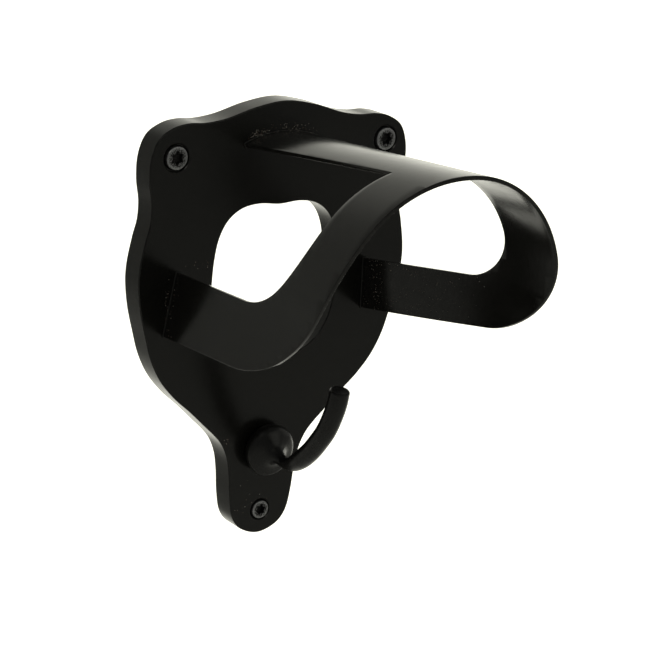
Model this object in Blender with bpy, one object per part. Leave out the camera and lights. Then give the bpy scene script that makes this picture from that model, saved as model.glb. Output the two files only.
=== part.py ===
"""Wall bracket with a bent-sheet cradle and a coat hook, for a hand-held dryer.

Frame: metres, +Z up, back face of the plate on y = 0, front of the object towards -Y, x = 0 on the
plate's centre line. The origin lies on the back face, between the window and the hook.
"""
import math

import bmesh
import bpy
from mathutils import Vector
from mathutils.geometry import interpolate_bezier

MM = 0.001

# ---- driving dimensions, in millimetres unless a name says otherwise ----
GAP = 0.3                     # air between pieces that seat on each other
PLATE_WIDTH = 124.8           # across the plate's widest point
PLATE_HEIGHT = 179.8
PLATE_THICKNESS = 10.9
PLATE_ARRIS = 0.9             # rounding of the plate's front and back edges
ARRIS_STEPS = 2
OUTLINE_STEP = 3.6            # spacing of the points along the plate's outline
# right half of the plate's outline, from top centre to bottom centre, as (x, z). on_plate() stretches it
# to the width and height above, and with it the window and every place that is given on the plate
PLATE_HALF = [(0, 124.7), (13.7, 122.7), (26.9, 118.9), (36.0, 117.6), (43.5, 117.7), (50.3, 116.3),
              (56.5, 112.3), (59.6, 104.6), (59.8, 95.2), (58.4, 86.6), (58.6, 79.4), (60.3, 72.6),
              (62.2, 62.4), (62.4, 55.0), (61.0, 45.0), (58.3, 34.8), (55.2, 24.9), (50.4, 15.9),
              (43.6, 8.0), (36.2, 1.5), (29.3, -5.0), (21.1, -13.2), (17.5, -20.2), (15.9, -28.0),
              (14.8, -38.6), (12.9, -47.0), (8.6, -52.3), (0, -55.1)]
# right half of the window's outline
WINDOW_HALF = [(0, 83.4), (9.6, 84.1), (17.6, 82.6), (23.6, 78.2), (27.2, 71.4), (28.8, 63.0), (29.3, 54.0),
               (29.2, 44.4), (26.6, 34.0), (21.2, 26.2), (13.2, 21.4), (0, 19.3)]

# wall screws as (x, z); the right-hand upper hole is drilled a little higher than the left
SCREW_UPPER_LEFT = (-48.5, 104.6)
SCREW_UPPER_RIGHT = (49.0, 107.0)
SCREW_LOWER = (0.2, -45.0)
# diameters, and the margin of air round a head in its counterbore; drive is the six-lobe recess, tip to tip
UPPER_SCREW = dict(head=9.2, margin=1.0, shank=5.0, drive=5.4, length=20.0)
LOWER_SCREW = dict(head=7.6, margin=0.7, shank=4.0, drive=4.5, length=20.0)
HEAD_PROUD = 0.6              # a head stands this far in front of the plate
HEAD_RIM = 2.2                # straight side of a head, above its cone
HEAD_CHAMFER = 0.4
DRIVE_DEPTH = 2.4
DRIVE_LOBES = 6
POINT_LENGTH = 6.0            # tapered tip of a wall screw

SHEET = 1.55                  # cradle's sheet thickness
CREST_Z = 112.7               # top of the strap where it meets the plate
RISE = 0.074                  # climb of the cradle per unit of reach
LEAN = -0.038                 # sideways run of the cradle per unit of reach
REACH = 121.5                 # from the plate's front to the front edge at the crest
FRONT_SWEEP = 0.072           # the front edge falls back by this per unit of girth
LEG_EDGE = 18.8               # the arch springs this far inside the plate's widest point
ARCH_FLARE = 7.4              # growth of the arch's radius from the plate to the front edge
ARCH_RADIUS = (PLATE_WIDTH / 2 - LEG_EDGE, PLATE_WIDTH / 2 - LEG_EDGE + ARCH_FLARE)   # outside
STRAP_HALF = 13.8             # half width of the top strap where the band starts
# the two sides are formed separately: wrap angle (degrees) at the plate and at the front, strap
# flare at the plate, width of the front band and of the leg, height of the leg's lower edge on the plate,
# radii of the outer and inner bends of the blank, run of the leg's lower and upper edge per unit of reach
LEFT = dict(wrap=(79.9, 91.2), flare=5.4, band=26.6, leg=25.7, foot=34.3, outer=65.5, inner=37.3,
            run=(0.036, 0.036))
RIGHT = dict(wrap=(88.2, 105.2), flare=4.5, band=27.6, leg=21.0, foot=37.0, outer=36.3, inner=24.5,
             run=(-0.062, -0.043))
BEND_STEP = 4.5               # spacing of the facets round the arch
ROW_STEP = 20.0               # spacing of the rows along the reach
TAB_SHOULDER = 3.0            # the tab behind the plate is narrower than its strap by this, each side
POCKET_MARGIN = 0.8
FLANGE_LENGTH = 10.0
FLANGE_STEP_IN = 0.5          # a flange is narrower than its tab by this, each side
TAB_SCREW = dict(head=7.6, head_height=1.3, shank=4.0)
HEAD_SUNK = 0.55              # a tab screw's head lies this far below the plate's back
FRONT_SKIN = 2.0              # metal left in front of a tab screw's bore
POCKET_DEPTH = SHEET + TAB_SCREW["head_height"] + 2 * GAP + HEAD_SUNK   # rear recess for a turned-over tab
TAB_END = PLATE_THICKNESS - POCKET_DEPTH + GAP + SHEET - 0.2            # a tab stops just inside its flange

HOOK_Z = -17.9                # axis of the hook's base
HOOK_PATH = [(0, 0), (6.0, 0), (10.4, -0.7), (15.4, -1.5), (20.7, -0.2), (26.7, 3.7), (32.5, 8.8),
             (37.4, 14.4), (42.1, 20.7), (45.4, 27.1), (47.9, 33.6), (48.9, 38.6)]   # (forward, up)
# (distance along the hook, radius): round base, flared neck, even rod
HOOK_RADII = [(0, 8.8), (1.4, 9.9), (3.2, 10.6), (5.0, 10.7), (6.0, 10.0), (6.8, 8.4), (7.8, 6.2), (9.2, 4.3),
              (11.2, 3.0), (13.6, 2.4), (16.4, 2.4), (20.4, 3.0), (25.4, 3.7), (31.0, 4.0), (90.0, 4.0)]
HOOK_SIDES = 20
TIP_CHAMFER = 0.7
HOOK_SCREW = dict(head=7.6, shank=4.0, grip=5.3)      # grip is its length inside the hook

for leftover in list(bpy.data.objects):
    bpy.data.objects.remove(leftover, do_unlink=True)


# ---------------------------------------------------------------- helpers
def material(name, colour, roughness, metallic):
    mat = bpy.data.materials.new(name)
    mat.use_nodes = True
    shader = mat.node_tree.nodes["Principled BSDF"]
    shader.inputs["Base Color"].default_value = (*colour, 1)
    shader.inputs["Roughness"].default_value = roughness
    shader.inputs["Metallic"].default_value = metallic
    return mat


def add_object(name, bm, mat=None, smooth=30):
    """Turn a bmesh built in millimetres into a named object in metres."""
    bmesh.ops.scale(bm, vec=(MM, MM, MM), verts=bm.verts)
    bmesh.ops.recalc_face_normals(bm, faces=bm.faces)
    mesh = bpy.data.meshes.new(name)
    bm.to_mesh(mesh)
    bm.free()
    mesh.shade_smooth()
    mesh.set_sharp_from_angle(angle=math.radians(smooth))
    if mat:
        mesh.materials.append(mat)
    obj = bpy.data.objects.new(name, mesh)
    bpy.context.scene.collection.objects.link(obj)
    return obj


def as_cutter(obj):
    obj.hide_render = True
    obj.display_type = "WIRE"
    return obj


def boolean(obj, other, operation="DIFFERENCE"):
    mod = obj.modifiers.new(other.name, "BOOLEAN")
    mod.operation = operation
    mod.solver = "EXACT"
    mod.object = as_cutter(other)
    return obj


def curve_through(points, step):
    """Smooth open curve through the points, sampled about every step."""
    points = [Vector(p) for p in points]
    out = []
    for i in range(len(points) - 1):
        a, b = points[i], points[i + 1]
        before = points[i - 1] if i else a
        after = points[i + 2] if i + 2 < len(points) else b
        length = (b - a).length
        # chord-length tangents, so uneven spacing makes no bumps
        tan_a = (b - before) / max((b - a).length + (a - before).length, 1e-9) * length
        tan_b = (after - a) / max((after - b).length + length, 1e-9) * length
        count = max(1, round(length / step))
        out += [p.copy() for p in interpolate_bezier(a, a + tan_a / 3, b - tan_b / 3, b, count + 1)[:-1]]
    return out + [points[-1]]


def symmetric_outline(half, step):
    """Closed outline, clockwise from top centre, from its right half; level at top and bottom centre."""
    ghost_top, ghost_bottom = (-half[1][0], half[1][1]), (-half[-2][0], half[-2][1])
    right = curve_through([(x, 0, z) for x, z in [ghost_top, *half, ghost_bottom]], step)
    top = min(range(len(right)), key=lambda i: (right[i] - Vector((half[0][0], 0, half[0][1]))).length)
    bottom = min(range(len(right)), key=lambda i: (right[i] - Vector((half[-1][0], 0, half[-1][1]))).length)
    right = [(p.x, p.z) for p in right[top:bottom + 1]]
    return right + [(-x, z) for x, z in reversed(right[1:-1])]


def on_plate(x, z):
    """Stretch a place given on the drawn plate to the plate's real width and height."""
    return (x * PLATE_WIDTH / 2 / max(side for side, _ in PLATE_HALF),
            z * PLATE_HEIGHT / (PLATE_HALF[0][1] - PLATE_HALF[-1][1]))


def inset(outline, distance):
    """Move every point of a clockwise outline inwards; a negative distance moves it outwards."""
    out = []
    for i, (x, z) in enumerate(outline):
        (ax, az), (bx, bz) = outline[i - 1], outline[(i + 1) % len(outline)]
        tx, tz = bx - ax, bz - az
        size = math.hypot(tx, tz)
        out.append((x + tz / size * distance, z - tx / size * distance))
    return out


def ring(bm, points):
    return [bm.verts.new(p) for p in points]


def bridge(bm, first, second):
    for i in range(len(first)):
        j = (i + 1) % len(first)
        bm.faces.new((first[i], first[j], second[j], second[i]))


def ring_edges(bm, verts):
    return [bm.edges.get((verts[i - 1], verts[i])) for i in range(len(verts))]


def arris_profile():
    """(inset, y) from the front face's rim, over the edge, to the back face's rim."""
    front = [(PLATE_ARRIS * (1 - math.sin(a)), -PLATE_THICKNESS + PLATE_ARRIS * (1 - math.cos(a)))
             for a in (math.pi / 2 * i / ARRIS_STEPS for i in range(ARRIS_STEPS + 1))]
    return front + [(d, -PLATE_THICKNESS - y) for d, y in reversed(front)]


def lathe(name, profile, centre, sides, mat=None, smooth=30):
    """Turn (radius, y) pairs round the line through centre = (x, z), parallel to Y; both ends closed."""
    bm = bmesh.new()
    rings = []
    for radius, y in profile:
        if radius <= 0:
            rings.append([bm.verts.new((centre[0], y, centre[1]))])
            continue
        rings.append(ring(bm, [(centre[0] + radius * math.cos(2 * math.pi * i / sides), y,
                                centre[1] + radius * math.sin(2 * math.pi * i / sides))
                               for i in range(sides)]))
    for a, b in zip(rings, rings[1:]):
        if len(a) == 1 or len(b) == 1:
            tip, loop = (a[0], b) if len(a) == 1 else (b[0], a)
            for i in range(sides):
                bm.faces.new((tip, loop[i], loop[(i + 1) % sides]))
        else:
            bridge(bm, a, b)
    for loop in (rings[0], rings[-1]):
        if len(loop) > 1:
            bm.faces.new(loop)
    return add_object(name, bm, mat, smooth)


def prism(name, outline, y0, y1):
    """Straight block between y0 and y1 over an (x, z) outline."""
    bm = bmesh.new()
    a, b = ring(bm, [(x, y0, z) for x, z in outline]), ring(bm, [(x, y1, z) for x, z in outline])
    bridge(bm, a, b)
    bm.faces.new(a)
    bm.faces.new(b)
    return add_object(name, bm)


def rounded_box(name, low, high, y0, y1, radius=1.5, steps=3):
    """Block with upright rounded corners between two (x, z) corners."""
    corners = [(high[0] - radius, high[1] - radius, 0), (low[0] + radius, high[1] - radius, 90),
               (low[0] + radius, low[1] + radius, 180), (high[0] - radius, low[1] + radius, 270)]
    outline = [(x + radius * math.cos(math.radians(start + 90 * k / steps)),
                z + radius * math.sin(math.radians(start + 90 * k / steps)))
               for x, z, start in corners for k in range(steps + 1)]
    return prism(name, outline, y0, y1)


# ---------------------------------------------------------------- back plate
def make_plate(mat):
    outer = symmetric_outline([on_plate(x, z) for x, z in PLATE_HALF], OUTLINE_STEP)
    window = symmetric_outline([on_plate(x, z) for x, z in WINDOW_HALF], OUTLINE_STEP)
    bm = bmesh.new()
    rims = {}
    for outline, sign in ((outer, 1), (window, -1)):
        loops = [ring(bm, [(x, y, z) for x, z in inset(outline, sign * d)]) for d, y in arris_profile()]
        for a, b in zip(loops, loops[1:]):
            bridge(bm, a, b)
        rims[sign] = (loops[0], loops[-1])
    for side in (0, 1):
        edges = ring_edges(bm, rims[1][side]) + ring_edges(bm, rims[-1][side])
        bmesh.ops.triangle_fill(bm, use_beauty=True, use_dissolve=False, edges=edges)
    return add_object("back_plate", bm, mat)


# ---------------------------------------------------------------- cradle
def turned(point, corner, after, radius, steps):
    """Points round a corner of the blank: an arc that touches both of its sides."""
    a, c, b = Vector(point), Vector(corner), Vector(after)
    u, v = (a - c).normalized(), (b - c).normalized()
    half = u.angle(v) / 2
    reach = min(radius / math.tan(half), 0.97 * (a - c).length, 0.97 * (b - c).length)
    radius = reach * math.tan(half)
    centre = c + (u + v).normalized() * radius / math.sin(half)
    start, end = c + u * reach - centre, c + v * reach - centre
    sweep = math.pi - 2 * half
    return [centre + (start * math.sin((1 - k / steps) * sweep) + end * math.sin(k / steps * sweep))
            / math.sin(sweep) for k in range(steps + 1)]


def leg_edges(side):
    """Girth from the crest line to a leg's lower and upper edge, at the plate."""
    radius, wrap = ARCH_RADIUS[0], math.radians(side["wrap"][0])
    drop = on_plate(0, CREST_Z)[1] - radius * (1 - math.cos(wrap)) - on_plate(0, side["foot"])[1]
    low = radius * wrap + drop / math.sin(wrap)
    return low, low - side["leg"]


def half_blank(side):
    """One side of the flat blank, from the front edge's centre to the strap's centre at the plate.

    Points are (girth from the crest line, distance from the plate's front)."""
    low, high = leg_edges(side)
    (low_run, high_run), sweep = side["run"], FRONT_SWEEP
    front_reach = (REACH - sweep * low) / (1 + sweep * low_run)
    rear = REACH - side["band"]
    rear_reach = (rear - sweep * high) / (1 + sweep * high_run)
    corner = (STRAP_HALF, rear - sweep * STRAP_HALF)
    points = [(0, REACH)]
    points += turned((0, REACH), (low + low_run * front_reach, front_reach), (low, 0), side["outer"], 16)
    points += [(low, GAP), (low - TAB_SHOULDER, GAP), (low - TAB_SHOULDER, -TAB_END),
               (high + TAB_SHOULDER, -TAB_END), (high + TAB_SHOULDER, GAP), (high, GAP)]
    points += turned((high, 0), (high + high_run * rear_reach, rear_reach), corner, side["inner"], 12)
    root = STRAP_HALF + side["flare"]
    points += [corner, (root, GAP), (root - TAB_SHOULDER, GAP), (root - TAB_SHOULDER, -TAB_END)]
    return [(p[0], p[1]) for p in points]


def section(side, sign, girth, reach, depth):
    """(x, z) of the cradle's cross-section: depth is measured inwards from its outside surface."""
    share = max(reach, 0) / REACH
    radius = ARCH_RADIUS[0] + (ARCH_RADIUS[1] - ARCH_RADIUS[0]) * share
    wrap = math.radians(side["wrap"][0] + (side["wrap"][1] - side["wrap"][0]) * share)
    angle = min(girth / radius, wrap)
    straight = max(girth - radius * wrap, 0)
    x = (radius - depth) * math.sin(angle) + straight * math.cos(wrap)
    z = on_plate(0, CREST_Z)[1] - radius + (radius - depth) * math.cos(angle) - straight * math.sin(wrap)
    return sign * x + LEAN * max(reach, 0), z + RISE * max(reach, 0)


def on_cradle(girth, reach, depth):
    """Fold a point of the flat blank into space; negative girth is the left side."""
    side, sign = (RIGHT, 1) if girth >= 0 else (LEFT, -1)
    x, z = section(side, sign, abs(girth), reach, depth)
    return Vector((x, -PLATE_THICKNESS - reach, z))


def fold_blank(name, outline, outer_depth, inner_depth, mat=None):
    """Cut a flat outline into strips and fold it into a sheet between two depths."""
    bm = bmesh.new()
    bm.faces.new(ring(bm, [(g, r, 0) for g, r in outline]))
    bmesh.ops.triangulate(bm, faces=bm.faces, ngon_method="EAR_CLIP")
    girths, reaches = [g for g, _ in outline], [r for _, r in outline]
    cuts = [((step, 0, 0), (1, 0, 0)) for step in stations(min(girths), max(girths), BEND_STEP)]
    cuts += [((0, step, 0), (0, 1, 0)) for step in stations(min(reaches), max(reaches), ROW_STEP)]
    for point, normal in cuts:
        bmesh.ops.bisect_plane(bm, geom=bm.verts[:] + bm.edges[:] + bm.faces[:], dist=1e-4,
                               plane_co=point, plane_no=normal)
    bmesh.ops.remove_doubles(bm, verts=bm.verts, dist=0.02)
    flat = [(v, v.co.copy()) for v in bm.verts]
    borders = [tuple(e.verts) for e in bm.edges if e.is_boundary]
    outside = {v: bm.verts.new(on_cradle(co.x, co.y, outer_depth)) for v, co in flat}
    inside = {v: bm.verts.new(on_cradle(co.x, co.y, inner_depth)) for v, co in flat}
    for face in list(bm.faces):
        bm.faces.new([outside[v] for v in face.verts])
        bm.faces.new([inside[v] for v in reversed(face.verts)])
    for a, b in borders:
        bm.faces.new((outside[a], outside[b], inside[b], inside[a]))
    bmesh.ops.delete(bm, geom=[v for v, _ in flat], context="VERTS")
    bmesh.ops.triangulate(bm, faces=bm.faces, ngon_method="EAR_CLIP")
    return add_object(name, bm, mat)


def stations(low, high, step):
    first = math.ceil(low / step)
    return [k * step for k in range(first, math.floor(high / step) + 1) if low + 0.01 < k * step < high - 0.01]


def flange_outline(girths, toward, length, depth):
    """Turned-over end of a tab: its root follows the tab, its far end is straight."""
    root = [(p.x, p.z) for p in (on_cradle(g, 0, depth) for g in girths)]
    if toward[1]:                                   # hangs down from the strap
        far = min(z for _, z in root) + toward[1] * length
        return root + [(root[-1][0], far), (root[0][0], far)]
    inner = min(abs(x) for x, _ in root) - length   # runs inwards from a leg
    sign = math.copysign(1, root[0][0])
    return root + [(sign * inner, root[-1][1]), (sign * inner, root[0][1])]


# ---------------------------------------------------------------- hook
def radius_at(distance):
    for (d0, r0), (d1, r1) in zip(HOOK_RADII, HOOK_RADII[1:]):
        if distance <= d1:
            share = (distance - d0) / (d1 - d0)
            return r0 + (r1 - r0) * share
    return HOOK_RADII[-1][1]


def make_hook(mat):
    base_y = -PLATE_THICKNESS - GAP
    axis = on_plate(0, HOOK_Z)[1]
    path = curve_through([(0, base_y - forward, axis + up) for forward, up in HOOK_PATH], 1.7)
    distances = [0.0]
    for a, b in zip(path, path[1:]):
        distances.append(distances[-1] + (b - a).length)
    bm = bmesh.new()
    loops = []
    for i, (point, distance) in enumerate(zip(path, distances)):
        ahead = (path[min(i + 1, len(path) - 1)] - path[max(i - 1, 0)]).normalized()
        if point.y > base_y - HOOK_PATH[1][0]:
            ahead = Vector((0, -1, 0))
        across = ahead.cross(Vector((1, 0, 0)))
        sizes = [radius_at(distance)]
        if i == len(path) - 1:
            sizes = [sizes[0] * 0.985, sizes[0] - TIP_CHAMFER]
        for k, radius in enumerate(sizes):
            centre = point + ahead * (TIP_CHAMFER * (k if i else 0))
            loops.append(ring(bm, [centre + Vector((radius * math.cos(t), 0, 0)) + across * radius * math.sin(t)
                                   for t in (2 * math.pi * j / HOOK_SIDES for j in range(HOOK_SIDES))]))
    for a, b in zip(loops, loops[1:]):
        bridge(bm, a, b)
    bm.faces.new(loops[0])
    bm.faces.new(loops[-1])
    return add_object("hook", bm, mat, smooth=50)


# ---------------------------------------------------------------- screws
def drive_outline(centre, tip_to_tip, points=48):
    """Six-lobe recess: a circle that waves between its lobes and its waists."""
    mean, wave = tip_to_tip * 0.43, tip_to_tip * 0.07
    return [(centre[0] + (mean + wave * math.cos(DRIVE_LOBES * t)) * math.cos(t),
             centre[1] + (mean + wave * math.cos(DRIVE_LOBES * t)) * math.sin(t))
            for t in (2 * math.pi * k / points for k in range(points))]


def sunk_cone(size, rim, clearance, top):
    """(radius, y) of a countersunk head of 90 degrees, from its top at y = top down to its shank."""
    head, shank = size["head"] / 2 + clearance, size["shank"] / 2 + clearance
    return [(head, top), (head, top + rim), (shank, top + rim + head - shank)]


def wall_screw(name, centre, size, mat):
    top = -PLATE_THICKNESS - HEAD_PROUD
    head = sunk_cone(size, HEAD_RIM, 0, top)
    end = top + size["length"]
    profile = [(size["head"] / 2 - HEAD_CHAMFER, top), (size["head"] / 2, top + HEAD_CHAMFER), *head[1:],
               (size["shank"] / 2, end - POINT_LENGTH), (0.4, end)]
    screw = lathe(name, profile, centre, 32, mat)
    recess = prism(name + "_drive", drive_outline(centre, size["drive"]), top - 1, top + DRIVE_DEPTH)
    return boolean(screw, recess)


def screw_seat(plate, name, centre, size):
    """Counterbore, countersink and clearance hole for a wall screw."""
    cone = sunk_cone(size, HEAD_RIM, GAP, -PLATE_THICKNESS - HEAD_PROUD + GAP)
    bore = size["head"] / 2 + size["margin"]
    profile = [(bore, -PLATE_THICKNESS - 1), (bore, cone[1][1]), (cone[1][0], cone[1][1]), cone[2],
               (cone[2][0], 1)]
    boolean(plate, lathe(name + "_seat", profile, centre, 32))


def tab_screw(name, centre, mat):
    """Low-head screw driven from behind through a turned-over tab into the plate."""
    under = -POCKET_DEPTH + SHEET + 2 * GAP
    tip = -PLATE_THICKNESS + FRONT_SKIN + 2 * GAP
    head, shank = TAB_SCREW["head"] / 2, TAB_SCREW["shank"] / 2
    profile = [(shank - 0.4, tip), (shank, tip + 0.4),
               (shank, under), (head, under), (head, under + TAB_SCREW["head_height"] - 0.3),
               (head - 0.3, under + TAB_SCREW["head_height"])]
    screw = lathe(name, profile, centre, 24, mat)
    top = under + TAB_SCREW["head_height"]
    return boolean(screw, prism(name + "_drive", drive_outline(centre, 3.0, 36), top - 0.8, top + 1))


# ---------------------------------------------------------------- assembly
black = material("black_powder_coat", (0.022, 0.022, 0.021), 0.46, 0.0)
black_hook = material("black_hook_coat", (0.024, 0.024, 0.023), 0.42, 0.0)
steel = material("zinc_plated_steel", (0.66, 0.66, 0.65), 0.36, 1.0)

plate = make_plate(black)

# cradle, folded from one blank whose left half is mirrored girth
right, left = half_blank(RIGHT), half_blank(LEFT)
blank = right + [(-g, r) for g, r in reversed(left[1:])]
cradle = fold_blank("cradle", blank, 0, SHEET, black)

flange_y = (-POCKET_DEPTH + GAP, -POCKET_DEPTH + GAP + SHEET)
tabs = {
    "top": dict(girths=(-(STRAP_HALF + LEFT["flare"] - TAB_SHOULDER), STRAP_HALF + RIGHT["flare"] - TAB_SHOULDER),
                toward=(0, -1)),
    "left": dict(girths=(-(leg_edges(LEFT)[1] + TAB_SHOULDER), -(leg_edges(LEFT)[0] - TAB_SHOULDER)),
                 toward=(1, 0)),
    "right": dict(girths=(leg_edges(RIGHT)[1] + TAB_SHOULDER, leg_edges(RIGHT)[0] - TAB_SHOULDER),
                  toward=(-1, 0)),
}
for name, tab in tabs.items():
    first, last = tab["girths"]
    step_in = math.copysign(FLANGE_STEP_IN, last - first)
    start, end = first + step_in, last - step_in
    folds = stations(min(start, end), max(start, end), BEND_STEP)    # the same facets as the tab's
    girths = [start, *(folds if last > first else reversed(folds)), end]
    outline = flange_outline(girths, tab["toward"], FLANGE_LENGTH, SHEET / 2)
    boolean(cradle, prism("flange_" + name, outline, *flange_y), "UNION")

    # slot through the plate, clear of the tab all round
    low, high = min(first, last) - GAP, max(first, last) + GAP
    through = [(low, 2), (high, 2), (high, -PLATE_THICKNESS + POCKET_DEPTH / 2),
               (low, -PLATE_THICKNESS + POCKET_DEPTH / 2)]
    boolean(plate, fold_blank("slot_" + name, through, -GAP, SHEET + GAP))

    # rear pocket round the flange and the tab's end
    edge = [(p.x, p.z) for p in (on_cradle(g, 0, 0) for g in (first, 0.5 * (first + last), last))] + outline
    xs, zs = [x for x, _ in edge], [z for _, z in edge]
    boolean(plate, rounded_box("pocket_" + name, (min(xs) - POCKET_MARGIN, min(zs) - POCKET_MARGIN),
                               (max(xs) + POCKET_MARGIN, max(zs) + POCKET_MARGIN), -POCKET_DEPTH, 1))

    # screw in the middle of the flange
    far = outline[-2:]
    middle = on_cradle((first + last) / 2, 0, SHEET / 2)
    tab["centre"] = ((far[0][0] + far[1][0]) / 4 + middle.x / 2, (far[0][1] + far[1][1]) / 4 + middle.z / 2)
    hole = TAB_SCREW["shank"] / 2 + GAP
    bore = lathe("bore_" + name, [(hole, -PLATE_THICKNESS + FRONT_SKIN), (hole, 1)], tab["centre"], 24)
    boolean(plate, bore)
    boolean(cradle, bore)
    tab_screw("tab_screw_" + name, tab["centre"], steel)

# wall screws and their seats
for name, centre, size in (("wall_screw_upper_left", SCREW_UPPER_LEFT, UPPER_SCREW),
                           ("wall_screw_upper_right", SCREW_UPPER_RIGHT, UPPER_SCREW),
                           ("wall_screw_lower", SCREW_LOWER, LOWER_SCREW)):
    wall_screw(name, on_plate(*centre), size, steel)
    screw_seat(plate, name, on_plate(*centre), size)

# hook, held from behind by one countersunk screw
hook = make_hook(black_hook)
hook_centre = on_plate(0, HOOK_Z)
back = -GAP
tip = -PLATE_THICKNESS - GAP - HOOK_SCREW["grip"]
cone = sunk_cone(HOOK_SCREW, 0.3, 0, 0)
profile = [(r, back - y) for r, y in cone] + [(HOOK_SCREW["shank"] / 2, tip)]
screw = lathe("hook_screw", profile, hook_centre, 24, steel)
boolean(screw, prism("hook_screw_drive", drive_outline(hook_centre, 3.0, 36), back - 1.6, 1))
cone = sunk_cone(HOOK_SCREW, 0.3 + GAP, GAP, 0)
seat = [(cone[0][0], 1)] + [(r, -y) for r, y in cone[1:]] + [(cone[2][0], -PLATE_THICKNESS - 1)]
boolean(plate, lathe("hook_seat", seat, hook_centre, 24))
blind = HOOK_SCREW["shank"] / 2 + GAP
boolean(hook, lathe("hook_bore", [(blind, 1), (blind, tip - GAP)], hook_centre, 24))
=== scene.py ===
import math

import bmesh
import bpy
from mathutils import Matrix, Vector
from mathutils.geometry import interpolate_bezier


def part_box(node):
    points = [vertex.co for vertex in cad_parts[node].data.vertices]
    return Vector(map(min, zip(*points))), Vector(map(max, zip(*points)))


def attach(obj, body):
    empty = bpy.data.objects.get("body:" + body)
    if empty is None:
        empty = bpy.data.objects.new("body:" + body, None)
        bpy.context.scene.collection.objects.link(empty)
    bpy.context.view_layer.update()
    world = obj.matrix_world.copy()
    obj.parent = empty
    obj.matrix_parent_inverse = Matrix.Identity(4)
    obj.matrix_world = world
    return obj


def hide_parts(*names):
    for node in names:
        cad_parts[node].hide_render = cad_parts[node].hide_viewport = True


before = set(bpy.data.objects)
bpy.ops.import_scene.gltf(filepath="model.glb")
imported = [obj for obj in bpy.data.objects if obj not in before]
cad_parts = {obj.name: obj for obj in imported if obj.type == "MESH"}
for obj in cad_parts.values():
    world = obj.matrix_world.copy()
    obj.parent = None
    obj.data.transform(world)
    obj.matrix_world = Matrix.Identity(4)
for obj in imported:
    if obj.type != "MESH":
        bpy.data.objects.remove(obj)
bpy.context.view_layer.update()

scene = bpy.context.scene
mm = 0.001


# node trees written as sums
class Value:
    # an output of a node tree; plain arithmetic on it adds Math nodes
    def __init__(self, graph, socket):
        self.graph, self.socket = graph, socket

    def other(self, output):
        return Value(self.graph, self.graph.find(self.socket.node.outputs, output))

    def clamped(self):
        return self.graph.math("ADD", self, 0.0, clamp=True)

    def __add__(self, other):
        return self.graph.math("ADD", self, other)

    def __sub__(self, other):
        return self.graph.math("SUBTRACT", self, other)

    def __rsub__(self, other):
        return self.graph.math("SUBTRACT", other, self)

    def __mul__(self, other):
        return self.graph.math("MULTIPLY", self, other)

    def __truediv__(self, other):
        return self.graph.math("DIVIDE", self, other)

    def __rtruediv__(self, other):
        return self.graph.math("DIVIDE", other, self)

    __radd__, __rmul__ = __add__, __mul__


class Graph:
    # adds nodes to one shader or geometry tree
    def __init__(self, tree):
        self.tree = tree

    def find(self, sockets, key):
        if isinstance(key, int):
            return sockets[key]
        return next(s for s in sockets if key in (s.identifier, s.name))

    def add(self, kind, settings=None, inputs=None, output=0):
        node = self.tree.nodes.new(kind)
        for name, value in (settings or {}).items():
            setattr(node, name, value)
        for key, value in (inputs or {}).items():
            socket = self.find(node.inputs, key)
            if isinstance(value, Value):
                self.tree.links.new(value.socket, socket)
            else:
                socket.default_value = value
        return Value(self, self.find(node.outputs, output)) if node.outputs else node

    def math(self, operation, *values, clamp=False):
        return self.add("ShaderNodeMath", {"operation": operation, "use_clamp": clamp},
                        dict(enumerate(values)))

    def mixColour(self, factor, first, second):
        return self.add("ShaderNodeMix", {"data_type": "RGBA"},
                        {"Factor_Float": factor, "A_Color": first, "B_Color": second}, "Result_Color")

    def band(self, value, low, high):                # 0 below low, 1 above high, smooth between
        return self.add("ShaderNodeMapRange", {"interpolation_type": "SMOOTHSTEP"},
                        {"Value": value, "From Min": low, "From Max": high})

    def attribute(self, name):
        return self.add("ShaderNodeAttribute", {"attribute_name": name}, output="Fac")

    def noise(self, place, scale, detail=2.0, rough=0.5):
        return self.add("ShaderNodeTexNoise", {}, {"Vector": place, "Scale": scale, "Detail": detail,
                                                   "Roughness": rough})

    def cells(self, place, size):                    # jittered lattice and its three random numbers
        cell = self.add("ShaderNodeTexVoronoi", {"feature": "F1"},
                        {"Vector": place, "Scale": 1 / (size * mm)})
        chances = self.add("ShaderNodeSeparateColor", {}, {"Color": cell.other("Color")})
        return cell.other("Distance"), chances

    def bump(self, height, **more):
        return self.add("ShaderNodeBump", {}, {"Height": height, "Strength": 1.0, "Distance": 1.0, **more})


def opaque(colour):
    return (*colour, 1)


def newMaterial(name):
    material = bpy.data.materials.new(name)
    material.use_nodes = True
    material.node_tree.nodes.clear()
    graph = Graph(material.node_tree)
    return material, graph, graph.add("ShaderNodeTexCoord", output="Object")


def newTree(name, inputs):
    # an empty geometry tree with named inputs: (name, socket type, default)
    tree = bpy.data.node_groups.new(name, "GeometryNodeTree")
    tree.interface.new_socket("Geometry", in_out="INPUT", socket_type="NodeSocketGeometry")
    for label, kind, default in inputs:
        socket = tree.interface.new_socket(label, in_out="INPUT", socket_type="NodeSocket" + kind)
        if default is not None:
            socket.default_value = default
    tree.interface.new_socket("Geometry", in_out="OUTPUT", socket_type="NodeSocketGeometry")
    graph = Graph(tree)
    return tree, graph, graph.add("NodeGroupInput")


def grow(obj, tree, values):
    # run a tree on an object and keep the result as a plain mesh
    modifier = obj.modifiers.new(tree.name, "NODES")
    modifier.node_group = tree
    for item in tree.interface.items_tree:
        if item.item_type == "SOCKET" and item.in_out == "INPUT" and item.name in values:
            modifier[item.identifier] = values[item.name]
    return settle(obj)


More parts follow.
